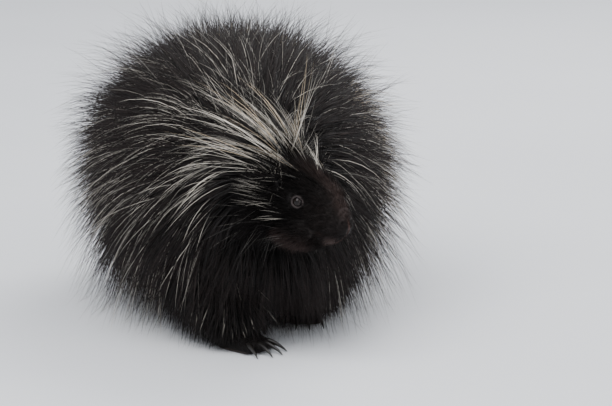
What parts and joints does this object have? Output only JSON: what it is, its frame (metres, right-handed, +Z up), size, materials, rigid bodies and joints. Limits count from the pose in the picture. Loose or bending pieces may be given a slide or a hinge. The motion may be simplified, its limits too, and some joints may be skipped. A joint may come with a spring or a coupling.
{
  "type": "porcupine",
  "caption": "Life-size still porcupine in a long winter coat, standing on four feet with its back arched and its head turned to its left.",
  "frame": {"origin": "middle of the bounding box at the level of the soles", "axes": "+Z up, the torso heads along -Y and the animal's left is at +X"},
  "size_m": [0.4218, 0.764, 0.3377],
  "materials": {
    "coat": "long coarse hair, near-black brown with ivory tips",
    "face": "short dark brown fur",
    "sole": "dark fur over bare pebbled soles",
    "eye": "wet and near black",
    "claw": "dark horn, satin"
  },
  "bodies": {
    "root": {"torso": "coat", "neck": "coat", "tail": "coat", "foreleg_left": "coat", "foreleg_right": "coat", "hindleg_left": "coat", "hindleg_right": "coat", "head": "face", "ear_left": "face", "ear_right": "face", "forefoot_left": "sole", "forefoot_right": "sole", "hindfoot_left": "sole", "hindfoot_right": "sole", "eye_left": "eye", "eye_right": "eye", "fore_claw_left_1": "claw", "fore_claw_left_2": "claw", "fore_claw_left_3": "claw", "fore_claw_left_4": "claw", "fore_claw_right_1": "claw", "fore_claw_right_2": "claw", "fore_claw_right_3": "claw", "fore_claw_right_4": "claw", "hind_claw_left_1": "claw", "hind_claw_left_2": "claw", "hind_claw_left_3": "claw", "hind_claw_left_4": "claw", "hind_claw_left_5": "claw", "hind_claw_right_1": "claw", "hind_claw_right_2": "claw", "hind_claw_right_3": "claw", "hind_claw_right_4": "claw", "hind_claw_right_5": "claw"}
  },
  "joints": []
}
